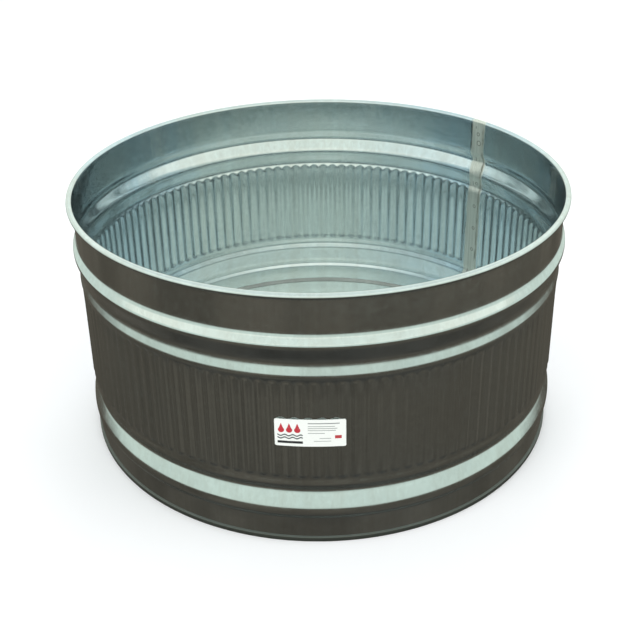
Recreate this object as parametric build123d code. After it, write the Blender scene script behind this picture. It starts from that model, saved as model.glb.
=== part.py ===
from build123d import *
import math
import os

# Round galvanised steel stock tank, nominal 4 ft across and 2 ft deep.
# Millimetres, +Z up, origin on the ground at the middle of the tank,
# the label faces -Y.

# ---- driving dimensions ----
RIM_OD = 1219.0          # outside of the rolled rim
HEIGHT = 626.0           # ground to the top of the rim
SHEET = 1.0              # galvanised sheet, wall and floor
CURL_R = 7.25            # outside radius of the rolled rim's section
CURL_END = -140.0        # where the curl's edge stops, degrees round its section
RIM_TUBE_OD = 12.0       # reinforcing tube inside the curl
RIM_TUBE_WALL = 1.5

R_COLLAR = 596.0         # plain collar under the rim, outside radius
R_WALL = 592.8           # mean outside radius of the fluted wall
R_BAND = 592.0           # plain band at the foot, outside radius

FLOOR_Z = 15.0           # top of the floor pan above the ground
FLOOR_RINGS = (220.0, 440.0)   # radii of the floor's stiffening rings
FLOOR_RING_W = 30.0
FLOOR_RING_H = 6.0
SEAM_H = 11.0            # height of the double seam at the foot
SEAM_R = 594.95          # outside radius of the double seam

LAP_START = 38.2         # vertical lap of the wall sheet, degrees from +X
LAP_ANGLE = 2.4
LAP_Z = (23.0, 608.0)

DRAIN_ANGLE = 150.0      # drain outlet, degrees from +X
DRAIN_Z = 43.5
DRAIN_HOLE_D = 34.0
SPUD_OD = 33.2           # 1 in parallel outside thread
SPUD_BORE = 26.5         # 3/4 in parallel inside thread
SPUD_FLANGE_D = 42.0
SPUD_FLANGE_T = 4.0
SPUD_OUT = 606.0         # outer end of the spud from the tank's axis
GASKET_D = 40.0
GASKET_IN_T = 3.0
GASKET_OUT_T = 2.8
NUT_AF = 42.0
NUT_T = 7.0
WASHER_D = 33.0
WASHER_T = 2.4
PLUG_D = 26.36           # runs in the spud's bore
PLUG_LEN = 16.4
PLUG_HEAD_AF = 30.0
PLUG_HEAD_T = 8.0

LABEL_START = -99.6      # label on the outside, degrees from +X
LABEL_ANGLE = 14.4
LABEL_Z = (257.0, 325.0)
LABEL_T = 0.25

# ---- wall section, outside line from the foot up (radius, height) ----
CURL_CR = RIM_OD / 2 - CURL_R
CURL_CZ = HEIGHT - CURL_R
WALL_LINE = [
    (R_BAND, 2.05),
    (R_BAND, 64.0),
    (593.0, 66.5),          # foot bead, lower flank
    (596.6, 74.0),
    (597.6, 79.0),
    (597.9, 86.0),
    (597.2, 94.0),          # foot bead, long upper flank
    (589.0, 125.0),
    (588.3, 131.0),
    (588.5, 143.0),         # step under the flutes
    (592.2, 157.0),
    (R_WALL, 163.0),
    (R_WALL, 400.0),        # fluted height of the wall
    (594.2, 412.0),
    (597.0, 424.0),         # low bead
    (596.6, 431.0),
    (593.4, 453.0),
    (593.2, 459.0),
    (596.5, 469.0),         # main bead, lower flank
    (602.0, 480.0),
    (604.4, 488.0),
    (605.2, 498.0),
    (604.2, 508.0),
    (596.6, 529.0),         # main bead, upper flank
    (R_COLLAR, 534.0),
    (R_COLLAR, CURL_CZ),
]


def offset_line(pts, d):
    """The line moved towards the axis by d, mitred at its corners."""
    out = []
    n = len(pts)
    for i in range(n):
        def normal(a, b):
            dr, dz = b[0] - a[0], b[1] - a[1]
            L = math.hypot(dr, dz)
            return (-dz / L, dr / L)
        if i == 0:
            nx, nz = normal(pts[0], pts[1])
            out.append((pts[0][0] + nx * d, pts[0][1] + nz * d))
            continue
        if i == n - 1:
            nx, nz = normal(pts[-2], pts[-1])
            out.append((pts[-1][0] + nx * d, pts[-1][1] + nz * d))
            continue
        n1 = normal(pts[i - 1], pts[i])
        n2 = normal(pts[i], pts[i + 1])
        sx, sz = n1[0] + n2[0], n1[1] + n2[1]
        k = 2 * d / (sx * sx + sz * sz)
        out.append((pts[i][0] + sx * k, pts[i][1] + sz * k))
    return out


def V(p):
    return Vector(p[0], 0, p[1])


def section(pts):
    """Closed flat section in the XZ plane."""
    return make_face(Polyline(*[V(p) for p in pts], close=True))


def on_curl(radius, deg):
    a = math.radians(deg)
    return (CURL_CR + radius * math.cos(a), CURL_CZ + radius * math.sin(a))


def ring(face, start=0.0, arc=360.0):
    s = revolve(face, axis=Axis.Z, revolution_arc=arc)
    return Rot(0, 0, start) * s if start else s


# ---- wall sheet: foot hook, beads, collar and curl in one section ----
inner_line = offset_line(WALL_LINE, SHEET)
r_in, r_out = CURL_R - SHEET, CURL_R
mid = (180.0 + CURL_END) / 2
foot = [(R_BAND - SHEET, 1.05), (593.9, 1.05), (593.9, 9.0), (592.9, 9.0),
        (592.9, 2.05)]
outer_path = Polyline(*[V(p) for p in foot + WALL_LINE])
curl_inside = ThreePointArc(V(WALL_LINE[-1]), V(on_curl(r_in, mid)),
                            V(on_curl(r_in, CURL_END)))
curl_edge = Line(V(on_curl(r_in, CURL_END)), V(on_curl(r_out, CURL_END)))
curl_outside = ThreePointArc(V(on_curl(r_out, CURL_END)),
                             V(on_curl(r_out, mid)), V(on_curl(r_out, 180)))
inner_path = Polyline(*[V(p) for p in [on_curl(r_out, 180)]
                        + inner_line[::-1][1:] + [foot[0]]])
wall_face = make_face(outer_path.edges() + curl_inside.edges()
                      + curl_edge.edges() + curl_outside.edges()
                      + inner_path.edges())
wall = ring(wall_face)

# the sheet's inner end laps over itself
lap_line = [p for p in WALL_LINE if p[1] < LAP_Z[1]]
lap_line = [(R_BAND, LAP_Z[0])] + lap_line[1:] + [(R_COLLAR, LAP_Z[1])]
lap_outer = offset_line(lap_line, SHEET * 0.5)
lap_inner = offset_line(lap_line, SHEET * 2)
lap = ring(section(lap_outer + lap_inner[::-1]), LAP_START, LAP_ANGLE)
wall = wall + lap

# ---- drain outlet placement: local X runs outwards through the wall ----
DRAIN = Pos(0, 0, DRAIN_Z) * Rot(0, 0, DRAIN_ANGLE)


def disc(u0, u1, d):
    return DRAIN * (Pos((u0 + u1) / 2, 0, 0) * Rot(0, 90, 0)
                    * Cylinder(d / 2, u1 - u0))


def hexagon(u0, u1, af):
    plane = Plane(origin=(u0, 0, 0), x_dir=(0, 1, 0), z_dir=(1, 0, 0))
    prism = extrude(plane * RegularPolygon(af / math.sqrt(3), 6),
                    amount=u1 - u0)
    cone_r = af / math.sqrt(3)
    # corners rounded off on both faces, as a turned nut has them
    cap = (Pos((u0 + u1) / 2, 0, 0) * Rot(0, 90, 0)
           * Cylinder(cone_r, u1 - u0))
    cap = chamfer(cap.edges().filter_by(GeomType.CIRCLE), length=0.9,
                  length2=1.7)
    return DRAIN * (prism & cap)


wall = wall - disc(580, 604, DRAIN_HOLE_D)

# ---- reinforcing tube inside the rim curl ----
tube_face = (Plane.XZ * (Pos(CURL_CR, CURL_CZ)
             * (Circle(RIM_TUBE_OD / 2) - Circle(RIM_TUBE_OD / 2 - RIM_TUBE_WALL))))
rim_tube = ring(tube_face)

# ---- floor pan: rings, turned-down leg and outer hook of the double seam ----
top_line = [(0.0, FLOOR_Z)]
low_line = [(0.0, FLOOR_Z - SHEET)]
for r in FLOOR_RINGS:
    h, w = FLOOR_RING_H, FLOOR_RING_W / 2
    top_line += [(r - w, FLOOR_Z), (r - w + h, FLOOR_Z + h),
                 (r + w - h, FLOOR_Z + h), (r + w, FLOOR_Z)]
    low_line += [(r - w + 0.4, FLOOR_Z - SHEET),
                 (r - w + h + 0.4, FLOOR_Z + h - SHEET),
                 (r + w - h - 0.4, FLOOR_Z + h - SHEET),
                 (r + w - 0.4, FLOOR_Z - SHEET)]
r_leg = R_BAND - SHEET - 0.1
pan = top_line + [
    (r_leg, FLOOR_Z), (r_leg, SHEET), (SEAM_R - SHEET, SHEET),
    (SEAM_R - SHEET, SEAM_H - SHEET), (R_BAND + 0.1, SEAM_H - SHEET),
    (R_BAND + 0.1, SEAM_H), (SEAM_R, SEAM_H), (SEAM_R, 0.0),
    (r_leg - SHEET, 0.0), (r_leg - SHEET, FLOOR_Z - SHEET)] + low_line[::-1]
floor_pan = ring(section(pan))

# ---- sealant beads ----
r_w = R_BAND - SHEET
floor_seam_sealant = ring(section([
    (r_w - 7.0, FLOOR_Z), (r_w, FLOOR_Z), (r_w, FLOOR_Z + 7.0),
    (r_w - 3.2, FLOOR_Z + 2.6)]))
seal_outer = offset_line(lap_line, SHEET)
seal_inner = offset_line(lap_line, SHEET * 1.9)
lap_seam_sealant = ring(section(seal_outer + seal_inner[::-1]),
                        LAP_START + LAP_ANGLE, 0.3)

# ---- drain outlet ----
u_in = R_BAND - SHEET - GASKET_IN_T
u_out = R_BAND + GASKET_OUT_T
inside = Pos(0, 0, DRAIN_Z) * Cylinder(R_BAND - SHEET, 80)
outside = Pos(0, 0, DRAIN_Z) * Cylinder(R_BAND, 80)
drain_gasket_inner = (disc(u_in, R_BAND + 5, GASKET_D)
                      - disc(u_in - 1, R_BAND + 6, SPUD_OD + 0.4)) & inside
drain_gasket_outer = (disc(R_BAND - 6, u_out, GASKET_D)
                      - disc(R_BAND - 7, u_out + 1, SPUD_OD + 0.4)) - outside
drain_spud = (disc(u_in - SPUD_FLANGE_T, u_in, SPUD_FLANGE_D)
              + disc(u_in - SPUD_FLANGE_T, SPUD_OUT, SPUD_OD)
              - disc(u_in - SPUD_FLANGE_T - 1, SPUD_OUT + 1, SPUD_BORE))
drain_locknut = (hexagon(u_out, u_out + NUT_T, NUT_AF)
                 - disc(u_out - 1, u_out + NUT_T + 1, SPUD_OD + 0.1))
u_head = SPUD_OUT + WASHER_T
drain_plug_washer = (disc(SPUD_OUT, u_head, WASHER_D)
                     - disc(SPUD_OUT - 1, u_head + 1, PLUG_D + 0.12))
drain_plug = (disc(u_head - PLUG_LEN, u_head, PLUG_D)
              + hexagon(u_head, u_head + PLUG_HEAD_T, PLUG_HEAD_AF))
# square socket for a drive bar in the plug's head
socket = DRAIN * (Pos(u_head + PLUG_HEAD_T, 0, 0) * Box(14.0, 12.8, 12.8))
drain_plug = drain_plug - socket

# ---- label, laid on the outside of the flutes ----
label = ring(section([
    (R_WALL + 0.05, LABEL_Z[0]), (R_WALL + 0.05 + LABEL_T, LABEL_Z[0]),
    (R_WALL + 0.05 + LABEL_T, LABEL_Z[1]), (R_WALL + 0.05, LABEL_Z[1])]),
    LABEL_START, LABEL_ANGLE)

nodes = {
    "wall_sheet": wall,
    "rim_tube": rim_tube,
    "floor_pan": floor_pan,
    "floor_seam_sealant": floor_seam_sealant,
    "lap_seam_sealant": lap_seam_sealant,
    "drain_spud": drain_spud,
    "drain_gasket_inner": drain_gasket_inner,
    "drain_gasket_outer": drain_gasket_outer,
    "drain_locknut": drain_locknut,
    "drain_plug": drain_plug,
    "drain_plug_washer": drain_plug_washer,
    "label": label,
}

os.makedirs("parts", exist_ok=True)
for name, shape in nodes.items():
    solids = shape.solids()
    export_step(solids[0] if len(solids) == 1 else Compound(children=list(solids)),
                "parts/%s.step" % name)
    print(name, len(solids), round(sum(s.volume for s in solids), 1))
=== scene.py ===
import math
import random

import bmesh
import bpy
import numpy as np
from mathutils import Matrix, Vector


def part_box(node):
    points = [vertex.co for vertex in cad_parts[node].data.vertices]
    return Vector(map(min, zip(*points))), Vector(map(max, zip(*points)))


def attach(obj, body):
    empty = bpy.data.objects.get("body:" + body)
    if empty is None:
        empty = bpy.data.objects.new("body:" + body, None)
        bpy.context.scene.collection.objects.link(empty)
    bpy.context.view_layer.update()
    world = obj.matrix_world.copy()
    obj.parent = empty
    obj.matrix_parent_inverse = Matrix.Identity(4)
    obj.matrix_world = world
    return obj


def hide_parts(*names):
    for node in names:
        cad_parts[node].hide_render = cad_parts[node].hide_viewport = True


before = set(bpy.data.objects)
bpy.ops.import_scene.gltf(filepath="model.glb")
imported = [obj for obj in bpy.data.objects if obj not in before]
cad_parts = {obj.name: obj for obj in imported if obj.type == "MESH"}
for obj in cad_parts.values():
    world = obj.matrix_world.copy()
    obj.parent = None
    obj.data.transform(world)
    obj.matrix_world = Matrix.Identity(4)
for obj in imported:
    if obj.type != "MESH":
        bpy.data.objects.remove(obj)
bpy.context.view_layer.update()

random.seed(7)
MM = 0.001

# ------------------------------------------------------------------ sizes
lo_w, hi_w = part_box("wall_sheet")
lo_f, hi_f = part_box("floor_pan")
RIM_R = round((hi_w.x - lo_w.x) / 2, 5)
TOP = hi_w.z
SHEET = 1.0 * MM
CURL_R = 7.25 * MM
CURL_END = -140.0
R_COLLAR = 596.0 * MM
R_WALL = 592.8 * MM
R_BAND = 592.0 * MM
SEAM_R = round((hi_f.x - lo_f.x) / 2, 5)
CURL_CR = RIM_R - CURL_R
CURL_CZ = TOP - CURL_R

FLUTES = 128
FLUTE_GAP = (37.5, 42.7)      # plain strip at the lap, degrees
FLUTE_A = 3.0 * MM            # depth of a flute, pressed outwards
FLUTE_Z = (168.5 * MM, 419.5 * MM)
FLUTE_CAP = 13.0 * MM
LAP0, LAP1, LAP2 = 38.2, 40.6, 44.0
DRAIN_ANGLE, DRAIN_Z = 150.0, 43.5 * MM


# ------------------------------------------------------------------ mesh tools
def new_object(name, verts, faces, smooth_angle=35.0, mats=()):
    me = bpy.data.meshes.new(name)
    me.from_pydata([tuple(v) for v in verts], [], [tuple(f) for f in faces])
    me.validate()
    bm = bmesh.new()
    bm.from_mesh(me)
    bmesh.ops.recalc_face_normals(bm, faces=bm.faces)
    bm.to_mesh(me)
    bm.free()
    for p in me.polygons:
        p.use_smooth = True
    if smooth_angle is not None:
        me.set_sharp_from_angle(angle=math.radians(smooth_angle))
    for m in mats:
        me.materials.append(m)
    ob = bpy.data.objects.new(name, me)
    bpy.context.scene.collection.objects.link(ob)
    return ob


def rounded(pts, radii, seg=4):
    """Polyline with its corners rounded by arcs (quadratic curves)."""
    out = []
    n = len(pts)
    for i, p in enumerate(pts):
        r = radii[i] if isinstance(radii, (list, tuple)) else radii
        if i == 0 or i == n - 1 or r <= 0:
            out.append(p)
            continue
        a, b, c = np.array(pts[i - 1]), np.array(p), np.array(pts[i + 1])
        la, lc = np.linalg.norm(a - b), np.linalg.norm(c - b)
        d = min(r, 0.49 * la, 0.49 * lc)
        p0, p1 = b + (a - b) / la * d, b + (c - b) / lc * d
        for k in range(seg + 1):
            t = k / seg
            q = (1 - t) ** 2 * p0 + 2 * t * (1 - t) * b + t * t * p1
            out.append(tuple(q))
    clean = [out[0]]
    for p in out[1:]:
        if math.dist(p, clean[-1]) > 1e-6:
            clean.append(p)
    return clean


def normals2(pts):
    """Left-hand normals of a line that runs upwards: they point to the axis."""
    res = []
    for i in range(len(pts)):
        a = pts[max(0, i - 1)]
        b = pts[min(len(pts) - 1, i + 1)]
        dr, dz = b[0] - a[0], b[1] - a[1]
        L = math.hypot(dr, dz) or 1.0
        res.append((-dz / L, dr / L))
    return res


def offset_line(pts, d):
    n = normals2(pts)
    return [(p[0] + q[0] * d, p[1] + q[1] * d) for p, q in zip(pts, n)]


def strip(rows_a, rows_b, faces):
    """Faces between two closed rings given as (theta, vertex) lists."""
    A, B = rows_a, rows_b
    if len(A) == len(B):
        n = len(A)
        for j in range(n):
            k = (j + 1) % n
            faces.append((A[j][1], A[k][1], B[k][1], B[j][1]))
        return
    A = A + [(A[0][0] + 360.0, A[0][1])]
    B = B + [(B[0][0] + 360.0, B[0][1])]
    i = j = 0
    while i < len(A) - 1 or j < len(B) - 1:
        if j == len(B) - 1 or (i < len(A) - 1 and A[i + 1][0] <= B[j + 1][0] + 1e-9):
            faces.append((A[i][1], A[i + 1][1], B[j][1]))
            i += 1
        else:
            faces.append((A[i][1], B[j + 1][1], B[j][1]))
            j += 1


def smooth01(x):
    x = min(1.0, max(0.0, x))
    return x * x * (3 - 2 * x)


# a few long slow waves, so that the sheet isn't a perfect surface of revolution
_rng = random.Random(11)
WAVES = [(_rng.choice([2, 3, 5, 7, 9, 13, 17, 23]), _rng.uniform(4, 22),
          _rng.uniform(0, 6.28), _rng.uniform(0, 6.28), _rng.uniform(0.3, 1.0))
         for _ in range(14)]


def ripple(theta, z):
    """Slight waviness of a rolled sheet, in metres."""
    t = math.radians(theta)
    s = 0.0
    for n, kz, p, q, a in WAVES:
        s += a / (1 + n * 0.25) * math.sin(n * t + p) * math.cos(kz * z + q)
    fade = smooth01((TOP - 0.012 - z) / 0.05)
    fade *= smooth01((z - 0.08) / 0.07)
    # the waves die away towards the rim and towards the foot
    return 0.15 * MM * s * fade


# ------------------------------------------------------------------ wall sheet
def lap_shift(theta, side):
    """How far the sheet lies off its mean line near the lap, inwards."""
    if side == "out":
        if theta < LAP1:
            return 0.0
        return SHEET * (1 - smooth01((theta - LAP1) / (LAP2 - LAP1)))
    if theta < LAP0:
        return 0.0
    if theta < LAP1:
        return SHEET
    return SHEET * (1 - smooth01((theta - LAP1) / (LAP2 - LAP1)))


PITCH = (360.0 - (FLUTE_GAP[1] - FLUTE_GAP[0])) / FLUTES


def flute(theta, z):
    t = (theta - FLUTE_GAP[1]) % 360.0
    k = t / PITCH
    if k >= FLUTES:
        return 0.0
    u = (k - math.floor(k)) * 2 - 1          # -1..1 across a pitch
    u = abs(u) / 0.94
    cap = 0.0
    if z > FLUTE_Z[1] - FLUTE_CAP:
        cap = (z - (FLUTE_Z[1] - FLUTE_CAP)) / FLUTE_CAP
    if z < FLUTE_Z[0] + FLUTE_CAP:
        cap = ((FLUTE_Z[0] + FLUTE_CAP) - z) / FLUTE_CAP
    q = math.hypot(u, cap)
    if q >= 1:
        return 0.0
    return FLUTE_A * (0.5 + 0.5 * math.cos(math.pi * q)) ** 0.85


line_rows = [
    # radius, height, corner rounding (mm): outside of the sheet from the foot up
    (592.0, 2.05, 0), (592.0, 64.4, 3), (598.1, 74.9, 3), (598.4, 79.5, 4),
    (598.2, 87.0, 6), (597.5, 94.4, 4), (588.8, 121.6, 8), (586.2, 129.0, 5),
    (585.4, 136.4, 2), (592.4, 150.6, 3), (592.0, 158.0, 5), (591.2, 166.0, 5),
    (591.2, 404.0, 6), (593.0, 413.0, 4), (596.3, 422.5, 3), (596.9, 428.0, 3),
    (596.7, 433.0, 3), (593.0, 452.4, 8), (592.6, 462.0, 6), (595.6, 472.5, 3),
    (604.9, 498.2, 4), (605.3, 503.5, 3), (604.8, 508.4, 3), (597.3, 523.4, 6),
    (596.2, 529.0, 4), (596.0, 536.0, 3), (596.0, 618.75, 0),
]
line = [(r * MM, z * MM) for r, z, _ in line_rows]
rad = [c for _, _, c in line_rows]
outer = rounded(line, [r * MM for r in rad], 3)
# long straight runs get extra rows
def densify(pts, step):
    out = [pts[0]]
    for a, b in zip(pts, pts[1:]):
        n = max(1, int(math.ceil(math.dist(a, b) / step)))
        for k in range(1, n + 1):
            out.append((a[0] + (b[0] - a[0]) * k / n, a[1] + (b[1] - a[1]) * k / n))
    return out


head = [p for p in outer if p[1] < FLUTE_Z[0] - 0.0015]
tail = [p for p in outer if p[1] > FLUTE_Z[1] + 0.0015]


def line_r(z):
    for a, b in zip(outer, outer[1:]):
        if a[1] <= z <= b[1]:
            return a[0] + (b[0] - a[0]) * (z - a[1]) / max(1e-9, b[1] - a[1])
    return outer[-1][0]


zs = [FLUTE_Z[0] + FLUTE_CAP * k / 7 for k in range(8)]
zs += [FLUTE_Z[0] + FLUTE_CAP + (FLUTE_Z[1] - FLUTE_Z[0] - 2 * FLUTE_CAP) * k / 6 for k in range(1, 6)]
zs += [FLUTE_Z[1] - FLUTE_CAP + FLUTE_CAP * k / 7 for k in range(8)]
body = [(line_r(z), z) for z in zs]
outer = densify(head, 20 * MM) + body + densify(tail, 20 * MM)
kinds = [0] * len(densify(head, 20 * MM)) + [1] * len(body) + [0] * len(densify(tail, 20 * MM))
inner = offset_line(outer, SHEET)


def on_curl(r, deg):
    a = math.radians(deg)
    return (CURL_CR + r * math.cos(a), CURL_CZ + r * math.sin(a))


NC = 16
curl_in = [on_curl(CURL_R - SHEET, 180 + (CURL_END - 180) * k / NC) for k in range(1, NC + 1)]
curl_out = [on_curl(CURL_R, CURL_END + (180 - CURL_END) * k / NC) for k in range(0, NC)]
foot = [(R_BAND - SHEET, 1.05 * MM), (593.9 * MM, 1.05 * MM), (593.9 * MM, 9.0 * MM),
        (592.9 * MM, 9.0 * MM), (592.9 * MM, 2.05 * MM)]

# the section as one closed loop: (r, z), inward normal, side, fluted
loop = []
for p in foot:
    loop.append((p, (0, 0), "out", 0))
n_out = normals2(outer)
for p, n, k in zip(outer, n_out, kinds):
    loop.append((p, n, "out", k))
for p in curl_in:
    loop.append((p, (0, 0), "out", 0))
for p in curl_out:
    loop.append((p, (0, 0), "curl", 0))
for p, n, k in list(zip(inner, n_out, kinds))[::-1]:
    loop.append((p, n, "in", k))

edges = [LAP0 - 0.004, LAP0 + 0.004, LAP1 - 0.004, LAP1 + 0.004]
coarse = sorted([j * 360.0 / 222 for j in range(222) if min(abs(j * 360.0 / 222 - e) for e in edges) > 0.15] + edges)
fine = []
for k in range(FLUTES):
    for j in range(8):
        fine.append((FLUTE_GAP[1] + PITCH * (k + j / 8.0)) % 360.0)
fine += [FLUTE_GAP[0], LAP0 - 0.35] + edges + [39.0, 39.8, 41.3, 42.0]
fine = sorted(set(round(t, 5) for t in fine))

verts, rings = [], []
for (r, z), (nr, nz), side, k in loop:
    ring = []
    for th in (fine if k else coarse):
        rr, zz = r, z
        if side in ("out", "in") and (nr or nz):
            d = lap_shift(th, side) * smooth01((0.611 - z) / 0.012)
            if side == "in" and LAP0 < th < LAP1:
                # the lap's edge gapes a little over the main bead
                d += 1.3 * MM * smooth01((z - 0.466) / 0.012) * smooth01((0.508 - z) / 0.012) * smooth01((LAP1 - th) / 2.0)
            rr += nr * d
            zz += nz * d
        if side == "curl" or (side == "out" and not (nr or nz) and z > 0.6):
            # the joint shows on the rolled rim as a slight step
            g = 0.55 * MM * (1.0 if LAP0 < th < LAP1 else 0.0)
            L = math.hypot(r - CURL_CR, z - CURL_CZ)
            rr += (r - CURL_CR) / L * g
            zz += min(0.0, (z - CURL_CZ) / L * g)
        w = ripple(th, z) if 0.015 < z else 0.0
        if k:
            w += flute(th, z)
        rr += w
        t = math.radians(th)
        ring.append((th, len(verts)))
        verts.append((rr * math.cos(t), rr * math.sin(t), zz))
    rings.append(ring)
faces = []
for a, b in zip(rings, rings[1:] + rings[:1]):
    strip(a, b, faces)


# ------------------------------------------------------------------ materials
def nodes_of(name):
    m = bpy.data.materials.new(name)
    m.use_nodes = True
    nt = m.node_tree
    for n in list(nt.nodes):
        nt.nodes.remove(n)
    out = nt.nodes.new("ShaderNodeOutputMaterial")
    b = nt.nodes.new("ShaderNodeBsdfPrincipled")
    nt.links.new(b.outputs[0], out.inputs[0])
    return m, nt, b


def objco(nt):
    return nt.nodes.new("ShaderNodeTexCoord").outputs["Object"]


def noise(nt, vec, scale, detail=3.0, rough=0.5):
    n = nt.nodes.new("ShaderNodeTexNoise")
    n.inputs["Scale"].default_value = scale
    n.inputs["Detail"].default_value = detail
    n.inputs["Roughness"].default_value = rough
    nt.links.new(vec, n.inputs["Vector"])
    return n.outputs["Fac"]


def mapping(nt, vec, scale, loc=(0, 0, 0)):
    n = nt.nodes.new("ShaderNodeMapping")
    n.inputs["Scale"].default_value = scale
    n.inputs["Location"].default_value = loc
    nt.links.new(vec, n.inputs["Vector"])
    return n.outputs["Vector"]


def mapr(nt, val, a, b, c, d):
    n = nt.nodes.new("ShaderNodeMapRange")
    n.inputs["From Min"].default_value = a
    n.inputs["From Max"].default_value = b
    n.inputs["To Min"].default_value = c
    n.inputs["To Max"].default_value = d
    nt.links.new(val, n.inputs["Value"])
    return n.outputs["Result"]


def op(nt, what, *args):
    n = nt.nodes.new("ShaderNodeMath")
    n.operation = what
    for s, v in zip(n.inputs, args):
        if isinstance(v, (int, float)):
            s.default_value = v
        else:
            nt.links.new(v, s)
    return n.outputs[0]


def mixc(nt, fac, a, b, mode="MIX"):
    n = nt.nodes.new("ShaderNodeMix")
    n.data_type = "RGBA"
    n.blend_type = mode
    for s, v in ((n.inputs[0], fac), (n.inputs[6], a), (n.inputs[7], b)):
        if isinstance(v, (int, float)):
            s.default_value = v
        elif isinstance(v, (tuple, list)):
            s.default_value = v if len(v) == 4 else (*v, 1)
        else:
            nt.links.new(v, s)
    return n.outputs[2]


def bump(nt, height, strength, dist, normal=None):
    n = nt.nodes.new("ShaderNodeBump")
    n.inputs["Strength"].default_value = strength
    n.inputs["Distance"].default_value = dist
    nt.links.new(height, n.inputs["Height"])
    if normal is not None:
        nt.links.new(normal, n.inputs["Normal"])
    return n.outputs["Normal"]


def polar(nt, co):
    """Angle round the tank in degrees (-180..180) and height."""
    sep = nt.nodes.new("ShaderNodeSeparateXYZ")
    nt.links.new(co, sep.inputs[0])
    ang = op(nt, "MULTIPLY", op(nt, "ARCTAN2", sep.outputs["Y"], sep.outputs["X"]), 180 / math.pi)
    return ang, sep.outputs["Z"], sep


def window(nt, val, lo, hi, soft):
    """1 between lo and hi, falling to 0 over soft outside them."""
    up_ = mapr(nt, val, lo - soft, lo, 0, 1)
    dn = mapr(nt, val, hi, hi + soft, 1, 0)
    return op(nt, "MULTIPLY", up_, dn)


def shade(tone, k, warm=0.0):
    return (min(1, tone[0] * k * (1 + warm)), min(1, tone[1] * k), min(1, tone[2] * k * (1 - warm)))


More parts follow.
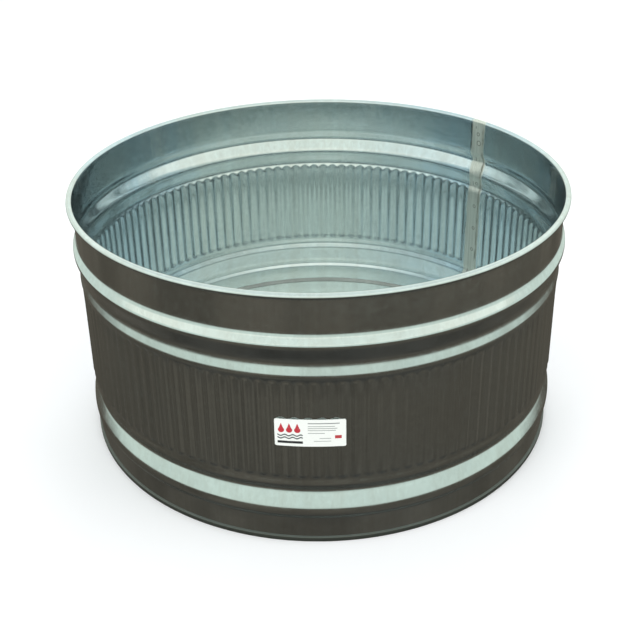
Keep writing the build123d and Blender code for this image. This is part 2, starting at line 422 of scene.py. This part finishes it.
def galvanised(name, tone=(0.75, 0.805, 0.81), rough=0.125, streak=1.0, where="wall"):
    m, nt, b = nodes_of(name)
    co = objco(nt)
    # crystals of the zinc coat, 8 to 14 mm across, with ragged borders
    wob = nt.nodes.new("ShaderNodeTexNoise")
    wob.inputs["Scale"].default_value = 60.0
    wob.inputs["Detail"].default_value = 3.0
    nt.links.new(co, wob.inputs["Vector"])
    add = nt.nodes.new("ShaderNodeVectorMath")
    add.operation = "MULTIPLY_ADD"
    nt.links.new(wob.outputs["Color"], add.inputs[0])
    add.inputs[1].default_value = (0.012, 0.012, 0.012)
    nt.links.new(co, add.inputs[2])
    spangle = nt.nodes.new("ShaderNodeTexVoronoi")
    spangle.inputs["Scale"].default_value = 95.0
    nt.links.new(add.outputs[0], spangle.inputs["Vector"])
    sp = nt.nodes.new("ShaderNodeSeparateColor")
    nt.links.new(spangle.outputs["Color"], sp.inputs[0])
    cell, cell2 = sp.outputs[0], sp.outputs[1]
    # rolling streaks run up the wall; on the floor the same noise is even in all directions
    sc = (30, 30, 0.8) if where != "floor" else (7, 7, 7)
    sc2 = (170, 170, 2.5) if where != "floor" else (26, 26, 26)
    st1 = noise(nt, mapping(nt, co, sc), 1.0, 3.0, 0.55)
    st2 = noise(nt, mapping(nt, co, sc2, (3, 1, 0)), 1.0, 2.0, 0.6)
    cloud = noise(nt, co, 4.5, 4.0, 0.6)
    grime = noise(nt, mapping(nt, co, (8, 8, 3.5), (7, 2, 5)), 1.0, 5.0, 0.62)
    c = mixc(nt, cell, shade(tone, 0.965), shade(tone, 1.03))
    c = mixc(nt, mapr(nt, st1, 0.38, 0.66, 0.0, 0.55 * streak), c, shade(tone, 0.86, 0.035))
    c = mixc(nt, mapr(nt, st2, 0.45, 0.72, 0.0, 0.30 * streak), c, shade(tone, 1.1, -0.01))
    c = mixc(nt, mapr(nt, cloud, 0.45, 0.75, 0.0, 0.35), c, shade(tone, 0.93, -0.03))
    c = mixc(nt, mapr(nt, grime, 0.54, 0.8, 0.0, 0.35), c, shade(tone, 0.84, 0.05))
    rough_v = op(nt, "ADD", mapr(nt, cell2, 0, 1, rough - 0.02, rough + 0.025),
                 mapr(nt, cloud, 0.3, 0.7, -0.015, 0.035))
    rough_v = op(nt, "ADD", rough_v, mapr(nt, st1, 0.35, 0.7, -0.01, 0.04))
    h = op(nt, "ADD", op(nt, "MULTIPLY", cell, 0.22), op(nt, "MULTIPLY", noise(nt, co, 380.0, 2.0), 0.16))
    nrm = bump(nt, h, 0.10, 0.0004)
    if where == "wall":
        ang, z, _ = polar(nt, co)
        # slight draw lines in the sheet: long upright waves, a few cm apart
        waves = noise(nt, mapping(nt, co, (22, 22, 0.25), (1, 5, 0)), 1.0, 1.0, 0.4)
        nrm = bump(nt, waves, 0.25, 0.0026, nrm)
        # painted shade: the zinc is painted a little darker and bluer towards the two ends of the back half, standing
        # in for the dark bluish reflections there
        cool_end_shade = op(nt, "ADD", window(nt, ang, 24.0, 58.0, 26.0), window(nt, ang, 150.0, 170.0, 24.0))
        c = mixc(nt, op(nt, "MULTIPLY", cool_end_shade, 0.85), c, mixc(nt, 1.0, c, (0.87, 0.945, 1.03), "MULTIPLY"))
        # the lap: duller, warmer and streaked, where it was tinned and rubbed down
        edge = noise(nt, mapping(nt, co, (60, 60, 14)), 1.0, 3.0, 0.6)
        lap = window(nt, op(nt, "ADD", ang, mapr(nt, edge, 0.3, 0.7, -0.25, 0.25)), 37.9, 41.9, 0.5)
        run = noise(nt, mapping(nt, co, (240, 240, 3.0), (2, 9, 4)), 1.0, 3.0, 0.65)
        lapc = mixc(nt, mapr(nt, run, 0.35, 0.65, 0, 1), (0.74, 0.74, 0.68), (0.93, 0.93, 0.87))
        c = mixc(nt, op(nt, "MULTIPLY", lap, 0.9), c, lapc)
        rough_v = op(nt, "ADD", rough_v, op(nt, "MULTIPLY", lap, 0.30))
        # dirty lines that ran down from the rim beside the lap
        stain_n = noise(nt, mapping(nt, co, (120, 120, 25), (4, 4, 1)), 1.0, 4.0, 0.7)
        st_a = op(nt, "MULTIPLY", window(nt, ang, 42.15, 42.45, 0.35), window(nt, z, 0.545, 0.612, 0.012))
        st_b = op(nt, "MULTIPLY", window(nt, ang, 38.15, 38.35, 0.22), window(nt, z, 0.20, 0.60, 0.01))
        stain = op(nt, "MULTIPLY", op(nt, "ADD", op(nt, "MULTIPLY", st_a, 0.9), op(nt, "MULTIPLY", st_b, 0.55)),
                   mapr(nt, stain_n, 0.36, 0.58, 0.15, 1.0))
        c = mixc(nt, stain, c, (0.16, 0.145, 0.115))
        # heat rings of the resistance welds that hold the lap
        for wz, wa, wr in ((0.560, 39.5, 6.5), (0.586, 39.9, 4.5), (0.436, 39.4, 4.2), (0.366, 39.5, 4.2),
                           (0.296, 39.4, 4.2), (0.226, 39.5, 4.2), (0.108, 39.4, 4.2)):
            da = op(nt, "MULTIPLY", op(nt, "SUBTRACT", ang, wa), 0.593 * math.pi / 180)
            dz = op(nt, "SUBTRACT", z, wz)
            dist = op(nt, "MULTIPLY", op(nt, "SQRT", op(nt, "ADD", op(nt, "MULTIPLY", da, da), op(nt, "MULTIPLY", dz, dz))), 1000.0)
            ring = window(nt, dist, wr - 0.7, wr + 0.7, 1.0)
            core = mapr(nt, dist, wr - 1.5, wr - 0.5, 1, 0)
            c = mixc(nt, op(nt, "MULTIPLY", ring, 0.7), c, (0.26, 0.245, 0.21))
            c = mixc(nt, op(nt, "MULTIPLY", core, 0.5), c, (0.82, 0.82, 0.78))
            rough_v = op(nt, "ADD", rough_v, op(nt, "MULTIPLY", core, 0.12))
    if where == "floor":
        _, z, _ = polar(nt, co)
        # painted shade: the pan's seam fold below 12 mm, along the foot of the tank, is painted near black and rougher,
        # the shade where the tank meets the ground
        low = mapr(nt, z, 0.0120, 0.0128, 1, 0)
        c = mixc(nt, op(nt, "MULTIPLY", low, 0.82), c, (0.075, 0.07, 0.06))
        rough_v = op(nt, "ADD", rough_v, op(nt, "MULTIPLY", low, 0.3))
    nt.links.new(c, b.inputs["Base Color"])
    nt.links.new(rough_v, b.inputs["Roughness"])
    b.inputs["Metallic"].default_value = 1.0
    nt.links.new(nrm, b.inputs["Normal"])
    return m


def simple(name, col, rough, metallic=0.0, scale=300.0, var=0.12, bumps=0.1, dist=0.0002, rvar=0.08, dirt=0.4):
    m, nt, b = nodes_of(name)
    co = objco(nt)
    n1 = noise(nt, co, scale, 4.0, 0.6)
    n2 = noise(nt, co, scale * 0.12, 3.0, 0.5)
    a = mixc(nt, mapr(nt, n1, 0.3, 0.7, 0, 1), shade(col, 1 - var), shade(col, 1 + var))
    c = mixc(nt, mapr(nt, n2, 0.4, 0.75, 0, dirt), a, shade(col, 0.62, 0.04))
    nt.links.new(c, b.inputs["Base Color"])
    b.inputs["Metallic"].default_value = metallic
    nt.links.new(mapr(nt, n2, 0.3, 0.7, rough - rvar, rough + rvar), b.inputs["Roughness"])
    nt.links.new(bump(nt, n1, bumps, dist), b.inputs["Normal"])
    return m


def label_material(name):
    """White vinyl with a drop pictogram and plain bars: no words and no mark."""
    m, nt, b = nodes_of(name)
    co = objco(nt)
    ang, z, _ = polar(nt, co)
    u = op(nt, "MULTIPLY", op(nt, "SUBTRACT", ang, LABEL_A0), LABEL_RR * 1000 * math.pi / 180)   # mm from the left edge
    v = op(nt, "MULTIPLY", op(nt, "SUBTRACT", z, LABEL_Z0), 1000.0)

    def rect(u0, u1, v0, v1, soft=0.12):
        return op(nt, "MULTIPLY", window(nt, u, u0, u1, soft), window(nt, v, v0, v1, soft))

    paper = noise(nt, co, 700.0, 3.0, 0.6)
    c = mixc(nt, paper, (0.84, 0.84, 0.82), (0.90, 0.90, 0.885))

    def drop(cu, cv, r, tip):
        du, dv = op(nt, "SUBTRACT", u, cu), op(nt, "SUBTRACT", v, cv)
        dist = op(nt, "SQRT", op(nt, "ADD", op(nt, "MULTIPLY", du, du), op(nt, "MULTIPLY", dv, dv)))
        circ = mapr(nt, dist, r - 0.1, r + 0.1, 1, 0)
        lim = op(nt, "MULTIPLY", op(nt, "SUBTRACT", tip, dv), r * 0.94 / tip)
        cone = op(nt, "MULTIPLY", mapr(nt, op(nt, "SUBTRACT", op(nt, "ABSOLUTE", du), lim), -0.1, 0.1, 1, 0),
                  mapr(nt, dv, 2.6, 2.8, 0, 1))
        return op(nt, "MAXIMUM", circ, cone)

    for cu in (14.0, 31.0, 48.0):
        c = mixc(nt, drop(cu, 40.5, 6.6, 17.5), c, (0.52, 0.03, 0.045))
    wave = op(nt, "MULTIPLY", op(nt, "SINE", op(nt, "MULTIPLY", u, 2 * math.pi / 17.0)), 1.7)
    for v0 in (27.5, 20.8):
        q = op(nt, "ABSOLUTE", op(nt, "SUBTRACT", op(nt, "SUBTRACT", v, v0), wave))
        c = mixc(nt, op(nt, "MULTIPLY", mapr(nt, q, 1.5, 1.75, 1, 0), window(nt, u, 6.0, 59.0, 0.2)), c, (0.085, 0.095, 0.105))
    c = mixc(nt, rect(6.0, 59.0, 7.0, 13.0), c, (0.028, 0.028, 0.03))
    grey = (0.16, 0.17, 0.18)
    for u0, u1, v0, v1 in ((70, 136, 57.0, 59.4), (70, 126, 50.0, 51.4), (70, 131, 45.0, 46.4), (70, 128, 40.0, 41.4),
                           (70, 105, 33.0, 34.4), (94, 118, 20.0, 21.3), (82, 118, 13.0, 14.3)):
        c = mixc(nt, op(nt, "MULTIPLY", rect(u0, u1, v0, v1), 0.85), c, grey)
    c = mixc(nt, rect(126.0, 140.0, 20.0, 28.0), c, (0.50, 0.05, 0.06))
    # scuffs and a little dust
    sc = noise(nt, mapping(nt, co, (60, 60, 200)), 1.0, 4.0, 0.7)
    c = mixc(nt, mapr(nt, sc, 0.6, 0.78, 0, 0.35), c, (0.62, 0.60, 0.55))
    nt.links.new(c, b.inputs["Base Color"])
    nt.links.new(mapr(nt, sc, 0.35, 0.75, 0.26, 0.42), b.inputs["Roughness"])
    nt.links.new(bump(nt, paper, 0.05, 0.0001), b.inputs["Normal"])
    return m


LABEL_A0, LABEL_A1 = -99.6, -85.2
LABEL_Z0, LABEL_Z1 = 0.257, 0.325
LABEL_RR = 0.5944

M_WALL = galvanised("galvanised_wall")
# painted shade: the floor pan is the wall's zinc given a darker tone, standing in for the shade on the floor inside the
# tank
M_FLOOR = galvanised("galvanised_floor", (0.66, 0.72, 0.70), 0.17, 0.8, "floor")
M_TUBE = galvanised("galvanised_tube", (0.5, 0.52, 0.52), 0.32, 1.0, "tube")
M_BRASS = simple("brass_fitting", (0.60, 0.43, 0.19), 0.28, 1.0, 260.0, 0.08, 0.12)
M_RUBBER = simple("rubber_seal", (0.022, 0.022, 0.023), 0.6, 0.0, 600.0, 0.18, 0.25)
M_SEAL = simple("sealant", (0.42, 0.44, 0.42), 0.42, 0.0, 90.0, 0.12, 0.3, 0.0006)
M_VINYL = label_material("label_vinyl")

# ------------------------------------------------------------------ wall
wall = new_object("wall_sheet_visual", verts, faces, None, [M_WALL])


def drain_frame(p):
    """Local (u, y, z) of the drain outlet to the row frame: u runs outwards."""
    t = math.radians(DRAIN_ANGLE)
    u_, y_, z_ = p
    return (u_ * math.cos(t) - y_ * math.sin(t), u_ * math.sin(t) + y_ * math.cos(t), DRAIN_Z + z_)


def cut_hole(ob, u0, u1, r, n=48):
    vs, fs = [], []
    for u_ in (u0, u1):
        for k in range(n):
            a_ = 2 * math.pi * k / n
            vs.append(drain_frame((u_, r * math.cos(a_), r * math.sin(a_))))
    for k in range(n):
        j = (k + 1) % n
        fs.append((k, j, n + j, n + k))
    fs += [tuple(range(n))[::-1], tuple(range(n, 2 * n))]
    cutter = new_object("cutter", vs, fs, None)
    mod = ob.modifiers.new("hole", "BOOLEAN")
    mod.operation = "DIFFERENCE"
    mod.object = cutter
    mod.solver = "EXACT"
    dg = bpy.context.evaluated_depsgraph_get()
    me = bpy.data.meshes.new_from_object(ob.evaluated_get(dg))
    ob.modifiers.clear()
    ob.data = me
    bpy.data.objects.remove(cutter)


cut_hole(wall, 580 * MM, 604 * MM, 17 * MM)
for p in wall.data.polygons:
    p.use_smooth = True
wall.data.set_sharp_from_angle(angle=math.radians(40))
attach(wall, "tank")
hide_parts("wall_sheet")


# ------------------------------------------------------------------ floor pan and its sealant
def lathe(name, loop_pts, cols, mat, warp=None, smooth=35.0, pole=False):
    """Closed section turned round Z. With pole, the loop starts and ends on the axis."""
    vs, rows, fs = [], [], []
    for r, z in loop_pts:
        if pole and r < 1e-6:
            rows.append(len(vs))
            dz = warp(0.0, 0.0, z)[1] if warp else 0.0
            vs.append((0, 0, z + dz))
            continue
        row = []
        for c in range(cols):
            a_ = 2 * math.pi * c / cols
            dr, dz = warp(r, a_, z) if warp else (0.0, 0.0)
            row.append(len(vs))
            vs.append(((r + dr) * math.cos(a_), (r + dr) * math.sin(a_), z + dz))
        rows.append(row)
    pairs = list(zip(rows, rows[1:])) + ([] if pole else [(rows[-1], rows[0])])
    for A, B in pairs:
        for c in range(cols):
            d = (c + 1) % cols
            if isinstance(A, int) and isinstance(B, int):
                continue
            if isinstance(A, int):
                fs.append((A, B[c], B[d]))
            elif isinstance(B, int):
                fs.append((A[c], A[d], B))
            else:
                fs.append((A[c], A[d], B[d], B[c]))
    return new_object(name, vs, fs, smooth, [mat])


FZ = 15 * MM
pan_top = []
r = 0.0
while r < 590.9:
    dz = 0.0
    for rc in (220.0, 440.0):
        q = (r - rc) / 12.5
        if abs(q) < 1:
            dz = 6.6 * (0.5 + 0.5 * math.cos(math.pi * q)) ** 0.75
    pan_top.append((r * MM, FZ + dz * MM))
    near = min(abs(r - 220.0), abs(r - 440.0)) < 14.5
    r += 1.45 if near else 12.5
pan_top.append((590.9 * MM, FZ))
seam = rounded([(590.9, 15.0), (590.9, 1.0), (593.95, 1.0), (593.95, 10.0), (592.1, 10.0), (592.1, 11.0),
                (594.95, 11.0), (594.95, 0.0), (589.9, 0.0), (589.9, 14.0)],
               [0, 0.3, 0.3, 0.3, 0, 0, 1.3, 1.0, 0.8, 0], 4)
pan_low = [(r_, z_ - SHEET) for r_, z_ in pan_top if r_ < 589.5 * MM][::-1]
_r2 = random.Random(23)
BUCKLE = [(_r2.choice([0, 1, 2, 3, 4, 5]), _r2.uniform(3, 14), _r2.uniform(0, 6.28), _r2.uniform(0, 6.28),
           _r2.uniform(0.4, 1.0)) for _ in range(12)]


def pan_warp(r_, a_, z_):
    if z_ < 13.5 * MM:
        return 0.0, 0.0
    s_ = sum(k * math.cos(n * a_ + p) * math.cos(w_ * r_ + q) * (r_ / 0.59 if n else 1.0) for n, w_, p, q, k in BUCKLE)
    return 0.0, 0.42 * MM * s_ * smooth01((0.575 - r_) / 0.05)


pan = lathe("floor_pan_visual", pan_top + [(r_ * MM, z_ * MM) for r_, z_ in seam[1:]] + pan_low, 256, M_FLOOR,
            pan_warp, 35.0, True)
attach(pan, "tank")
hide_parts("floor_pan")

_r3 = random.Random(5)
SEALW = [(_r3.choice([7, 11, 17, 29, 41, 67, 90]), _r3.uniform(0, 6.28), _r3.uniform(0.3, 1.0)) for _ in range(9)]


def seal_warp(r_, a_, z_):
    s_ = sum(k * math.sin(n * a_ + p) for n, p, k in SEALW) / 3.0
    free = smooth01((590.6 * MM - r_) / (3.0 * MM)) + 0.3 * smooth01((z_ - 17 * MM) / (4 * MM))
    return -0.7 * MM * s_ * min(1.0, free) * (1.0 if z_ > 15.2 * MM else 0.8), 0.35 * MM * s_ * smooth01((z_ - 15.3 * MM) / (2 * MM))


bead = [(584.6, 15.0), (591.0, 15.0), (591.0, 21.6), (590.3, 22.0), (589.4, 20.4), (588.4, 18.6), (587.0, 17.0), (585.4, 15.9)]
seal = lathe("floor_seam_sealant_visual", [(r_ * MM, z_ * MM) for r_, z_ in bead], 360, M_SEAL, seal_warp, 50.0)
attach(seal, "tank")
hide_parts("floor_seam_sealant")


# ------------------------------------------------------------------ label
def label_mesh():
    cols, rows, R = 72, 10, 4.0 * MM
    W = LABEL_RR * math.radians(LABEL_A1 - LABEL_A0)
    xs = [R * (1 - math.cos(math.pi / 2 * k / 6)) for k in range(7)]
    xs = xs + [R + (W - 2 * R) * k / (cols - 12) for k in range(1, cols - 12)] + [W - x for x in xs[::-1]]
    vs, fs = [], []
    for layer, rr_ in ((0, LABEL_RR - 0.1 * MM), (1, LABEL_RR + 0.1 * MM)):
        for x in xs:
            e_ = min(x, W - x)
            inset = R - math.sqrt(max(0.0, R * R - (R - e_) ** 2)) if e_ < R else 0.0
            th = math.radians(LABEL_A0) + x / LABEL_RR
            for k in range(rows + 1):
                z_ = LABEL_Z0 + inset + (LABEL_Z1 - LABEL_Z0 - 2 * inset) * k / rows
                # the lower right corner has lifted slightly
                lift = 0.9 * MM * max(0.0, 1 - math.hypot(W - x, z_ - LABEL_Z0) / (20 * MM)) ** 2
                vs.append(((rr_ + lift) * math.cos(th), (rr_ + lift) * math.sin(th), z_))
    nx, ny = len(xs), rows + 1

    def at(l, i, k):
        return l * nx * ny + i * ny + k

    for i in range(nx - 1):
        for k in range(rows):
            fs.append((at(1, i, k), at(1, i + 1, k), at(1, i + 1, k + 1), at(1, i, k + 1)))
            fs.append((at(0, i, k), at(0, i, k + 1), at(0, i + 1, k + 1), at(0, i + 1, k)))
    for i in range(nx - 1):
        for k in (0, rows):
            fs.append((at(0, i, k), at(0, i + 1, k), at(1, i + 1, k), at(1, i, k)))
    for k in range(rows):
        for i in (0, nx - 1):
            fs.append((at(0, i, k), at(0, i, k + 1), at(1, i, k + 1), at(1, i, k)))
    return new_object("label_visual", vs, fs, 50.0, [M_VINYL])


lab = label_mesh()
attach(lab, "tank")
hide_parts("label")


# ------------------------------------------------------------------ drain fittings
NPHI = 72


def regular(af, sides, turn=0.0):
    def f(phi):
        step = 2 * math.pi / sides
        q = (phi - turn + step / 2) % step - step / 2
        return af / 2 / math.cos(q)
    return f


def capped(f, r):
    return lambda phi: min(f(phi), r)


def thread(major, depth, pitch, u, fade=1.0, phase=0.0):
    """Right-handed thread: radius at an axial place, over the angle."""
    def f(phi):
        k = (u / pitch - phi / (2 * math.pi) + phase) % 1.0
        tri = abs(2 * k - 1)
        return major - depth * min(1.0, max(0.0, 1.15 * tri - 0.08)) * fade
    return f


def turned(name, stations, mat, body_, poles=(False, False), closed=False, smooth=32.0):
    """Rings along the drain's axis: (u mm, radius mm or function of the angle)."""
    vs, rows, fs = [], [], []
    for i, (u_, f) in enumerate(stations):
        if (i == 0 and poles[0]) or (i == len(stations) - 1 and poles[1]):
            rows.append(len(vs))
            vs.append(drain_frame((u_ * MM, 0, 0)))
            continue
        row = []
        for k in range(NPHI):
            phi = 2 * math.pi * k / NPHI
            rr_ = f(phi) if callable(f) else f
            row.append(len(vs))
            vs.append(drain_frame((u_ * MM, rr_ * MM * math.cos(phi), rr_ * MM * math.sin(phi))))
        rows.append(row)
    pairs = list(zip(rows, rows[1:])) + ([(rows[-1], rows[0])] if closed else [])
    for A, B in pairs:
        for k in range(NPHI):
            j = (k + 1) % NPHI
            if isinstance(A, int):
                fs.append((A, B[k], B[j]))
            elif isinstance(B, int):
                fs.append((A[k], A[j], B))
            else:
                fs.append((A[k], A[j], B[j], B[k]))
    ob = new_object(name, vs, fs, smooth, [mat])
    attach(ob, body_)
    return ob


U_IN, U_OUT, U_END, U_HEAD = 588.0, 594.8, 606.0, 608.4
P34, P1 = 25.4 / 14.0, 25.4 / 11.5


def span(a, b, step):
    n = max(1, int(round(abs(b - a) / step)))
    return [a + (b - a) * k / n for k in range(n + 1)]


# plug: square socket, chamfered hexagon, threaded shank
sq, hx = regular(12.8, 4), regular(30.0, 6)
st = [(609.4, 0), (609.4, capped(sq, 8.6)), (616.15, capped(sq, 8.6)), (616.4, capped(regular(13.4, 4), 9.0))]
st += [(616.4, 14.3), (616.2, 14.55), (615.9, capped(hx, 15.1)), (615.5, capped(hx, 15.9)), (615.1, capped(hx, 16.6)),
       (614.7, capped(hx, 17.2)), (609.9, capped(hx, 17.2)), (609.4, capped(hx, 16.6)), (608.9, capped(hx, 15.8)),
       (608.4, 14.9), (608.4, 13.1)]
for u_ in span(608.1, 592.9, P34 / 8):
    st.append((u_, thread(13.16, 0.95, P34, u_, min(1.0, (608.1 - u_) / 1.6) * min(1.0, (u_ - 592.9) / 0.8))))
st += [(592.3, 12.4), (592.0, 11.9), (592.0, 0)]
plug = turned("drain_plug_visual", st, M_BRASS, "plug", (True, True))
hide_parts("drain_plug")

# spud: flange inside the tank, threaded barrel, threaded bore
st = [(584.0, 20.2), (584.6, 21.0), (587.6, 21.0), (588.0, 20.6), (588.0, 16.6)]
for u_ in span(588.4, 605.4, P1 / 8):
    st.append((u_, thread(16.6, 1.15, P1, u_, min(1.0, (u_ - 588.4) / 0.8) * min(1.0, (605.4 - u_) / 0.9))))
st += [(606.0, 15.6), (606.0, 14.0)]
for u_ in span(605.3, 590.5, P34 / 8):
    st.append((u_, thread(13.25 + 0.02, 0.95, P34, u_, min(1.0, (605.3 - u_) / 1.2) * min(1.0, (u_ - 590.5) / 1.2))))
st += [(589.8, 13.25), (584.4, 13.25), (584.0, 13.7)]
spud = turned("drain_spud_visual", st, M_BRASS, "tank", closed=True)
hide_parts("drain_spud")

hn = regular(42.0, 6)
st = [(U_OUT, 17.4), (U_OUT, 20.3), (U_OUT + 0.5, capped(hn, 21.6)), (U_OUT + 1.1, capped(hn, 22.9)),
      (U_OUT + 1.7, capped(hn, 24.25)), (U_OUT + 5.3, capped(hn, 24.25)), (U_OUT + 5.9, capped(hn, 22.9)),
      (U_OUT + 6.5, capped(hn, 21.6)), (U_OUT + 7.0, 20.3), (U_OUT + 7.0, 17.5), (U_OUT + 6.3, 16.66), (U_OUT + 0.7, 16.66)]
nut = turned("drain_locknut_visual", st, M_BRASS, "tank", closed=True)
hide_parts("drain_locknut")

st = [(606.0, 13.24), (606.0, 16.0), (606.25, 16.4), (606.8, 16.62), (607.6, 16.62), (608.15, 16.4), (608.4, 16.0), (608.4, 13.24)]
wsh = turned("drain_plug_washer_visual", st, M_RUBBER, "plug_washer", closed=True)
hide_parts("drain_plug_washer")

for n, m in (("rim_tube", M_TUBE), ("lap_seam_sealant", M_SEAL), ("drain_gasket_inner", M_RUBBER),
             ("drain_gasket_outer", M_RUBBER)):
    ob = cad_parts[n]
    ob.data.materials.clear()
    ob.data.materials.append(m)

# ------------------------------------------------------------------ stage, light, camera
fl = new_object("studio_floor", [(-60, -60, -0.0003), (60, -60, -0.0003), (60, 60, -0.0003), (-60, 60, -0.0003)],
                [(0, 1, 2, 3)], None)
mf, nt, b = nodes_of("studio_floor")
b.inputs["Base Color"].default_value = (0.97, 0.915, 0.965, 1)
b.inputs["Roughness"].default_value = 0.95
b.inputs["Specular IOR Level"].default_value = 0.0
fl.data.materials.append(mf)
fl.visible_glossy = False

for nm, loc, size, power in (("soft_left", (-3.2, -3.0, 4.2), 3.2, 75.0), ("soft_right", (3.6, -1.5, 4.4), 3.2, 60.0),
                             ("soft_back", (0.2, 3.8, 4.2), 3.2, 60.0)):
    ld = bpy.data.lights.new(nm, "AREA")
    ld.shape = "DISK"
    ld.size = size
    ld.energy = power
    lo_ = bpy.data.objects.new(nm, ld)
    bpy.context.scene.collection.objects.link(lo_)
    lo_.location = loc
    lo_.rotation_euler = (Vector((0, 0, 0.2)) - Vector(loc)).to_track_quat("-Z", "Y").to_euler()
    lo_.visible_glossy = False

w = bpy.data.worlds.new("studio")
bpy.context.scene.world = w
bpy.context.scene.view_settings.view_transform = "Standard"
w.use_nodes = True
nt = w.node_tree
bg = nt.nodes["Background"]
tc = nt.nodes.new("ShaderNodeTexCoord")
sep = nt.nodes.new("ShaderNodeSeparateXYZ")
nt.links.new(tc.outputs["Generated"], sep.inputs[0])
sky = nt.nodes.new("ShaderNodeValToRGB")
el = sky.color_ramp.elements
stops = [(0.0, (0.050, 0.050, 0.046)), (0.18, (0.080, 0.073, 0.060)), (0.27, (0.094, 0.083, 0.066)),
         (0.312, (0.115, 0.105, 0.085)), (0.335, (0.50, 0.57, 0.51)), (0.355, (0.67, 0.78, 0.70)),
         (0.52, (0.71, 0.82, 0.745)), (0.55, (1.0, 1.06, 0.95)), (0.60, (1.0, 1.06, 0.95)),
         (0.66, (0.80, 0.90, 0.82)), (0.71, (1.03, 1.12, 1.04)),
         (0.78, (1.03, 1.12, 1.04)), (0.86, (0.82, 0.92, 0.88)), (1.0, (0.84, 0.95, 0.90))]
while len(el) < len(stops):
    el.new(0.5)
for e, (p, c) in zip(el, stops):
    e.position = p
    e.color = (*c, 1)
mr = nt.nodes.new("ShaderNodeMapRange")
mr.inputs["From Min"].default_value = -1
mr.inputs["From Max"].default_value = 1
nt.links.new(sep.outputs["Z"], mr.inputs["Value"])
nt.links.new(mr.outputs["Result"], sky.inputs["Fac"])
# the surroundings are a little uneven, most of all low down
mot = noise(nt, mapping(nt, tc.outputs["Generated"], (1.0, 1.0, 1.6), (3.1, 0.4, 2.2)), 3.2, 3.0, 0.6)
lowf = mapr(nt, mr.outputs["Result"], 0.315, 0.36, 1, 0)
gain = op(nt, "ADD", 1.0, op(nt, "MULTIPLY", mapr(nt, mot, 0.3, 0.7, -1, 1),
                             op(nt, "ADD", 0.07, op(nt, "MULTIPLY", lowf, 0.24))))
vm = nt.nodes.new("ShaderNodeVectorMath")
vm.operation = "SCALE"
nt.links.new(sky.outputs["Color"], vm.inputs[0])
nt.links.new(gain, vm.inputs["Scale"])
nt.links.new(vm.outputs[0], bg.inputs["Color"])
bg.inputs["Strength"].default_value = 1.0

# camera: f (px of a 640 frame), distance in rim radii from the rim's centre
CAM = dict(f=985.0, d=4.0, el=22.3, dx=-0.0010, dy=-0.0530, roll=0.9, px=0.0, py=-90.5)
U = RIM_R
e = math.radians(CAM["el"])
C = Vector((0, -CAM["d"] * math.cos(e), CAM["d"] * math.sin(e)))
fwd = -C.normalized()
right = Vector((1, 0, 0))
up = right.cross(fwd)


def turn(a, axis, ang):
    return Matrix.Rotation(ang, 3, axis) @ a


fwd, right = turn(fwd, up, CAM["dx"]), turn(right, up, CAM["dx"])
fwd, up = turn(fwd, right, CAM["dy"]), turn(up, right, CAM["dy"])
right, up = turn(right, fwd, math.radians(CAM["roll"])), turn(up, fwd, math.radians(CAM["roll"]))
cam_data = bpy.data.cameras.new("camera")
cam = bpy.data.objects.new("camera", cam_data)
bpy.context.scene.collection.objects.link(cam)
rot = Matrix((right, up, -fwd)).transposed()
cam.matrix_world = Matrix.Translation(C * U + Vector((0, 0, CURL_CZ))) @ rot.to_4x4()
cam_data.sensor_width = 36.0
cam_data.lens = CAM["f"] / 640.0 * 36.0
cam_data.shift_x = -CAM["px"] / 640.0
cam_data.shift_y = CAM["py"] / 640.0
cam_data.dof.use_dof = False
bpy.context.scene.camera = cam
